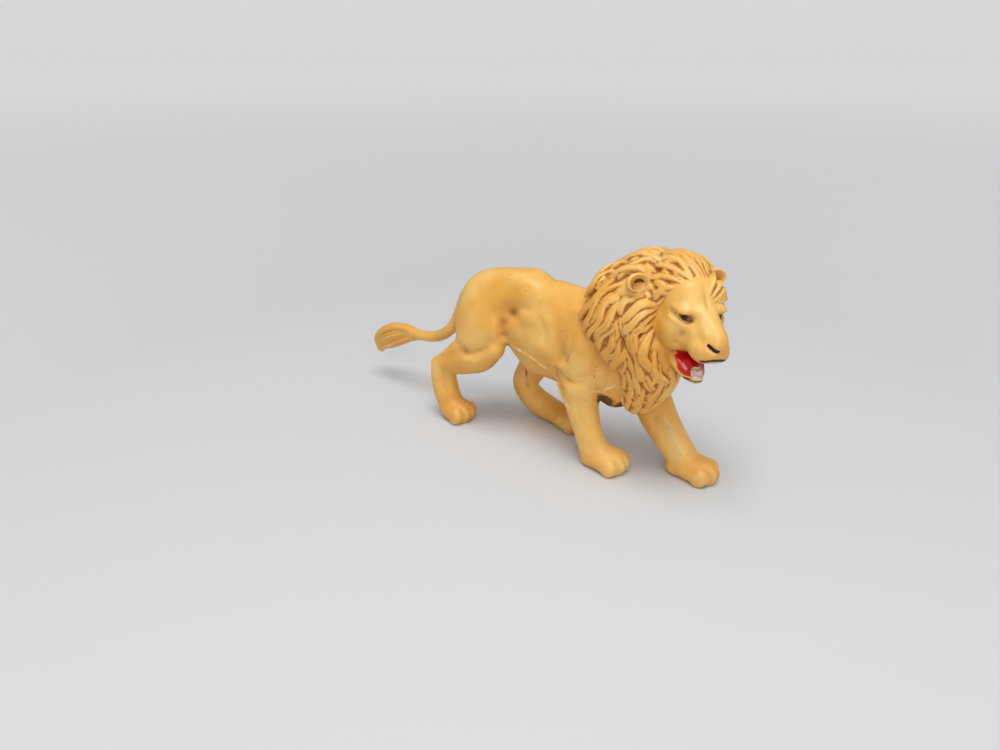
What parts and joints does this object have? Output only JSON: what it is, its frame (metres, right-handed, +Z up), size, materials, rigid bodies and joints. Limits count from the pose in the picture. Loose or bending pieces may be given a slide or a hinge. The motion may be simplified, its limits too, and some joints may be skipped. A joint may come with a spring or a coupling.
{
  "type": "toy lion figure",
  "caption": "Walking male lion figure in ochre soft plastic, head turned to its right with the mouth open, full mane, and a tail with a tuft held out behind.",
  "frame": {"origin": "middle of the whole figure's bounding box, at the level of the paw soles", "axes": "+X from the tail to the front paws, +Y to the lion's left, +Z up"},
  "size_m": [0.0954, 0.0222, 0.0457],
  "materials": {
    "body_plastic": "satin ochre soft PVC, slightly deeper orange in the recesses",
    "head_plastic": "the same satin ochre PVC, painted brown eyes, black nostrils and lip line, glossy red mouth and off-white lower teeth",
    "tail_plastic": "the same satin ochre PVC"
  },
  "bodies": {
    "root": {"body": "body_plastic", "head": "head_plastic", "tail": "tail_plastic"}
  },
  "joints": []
}
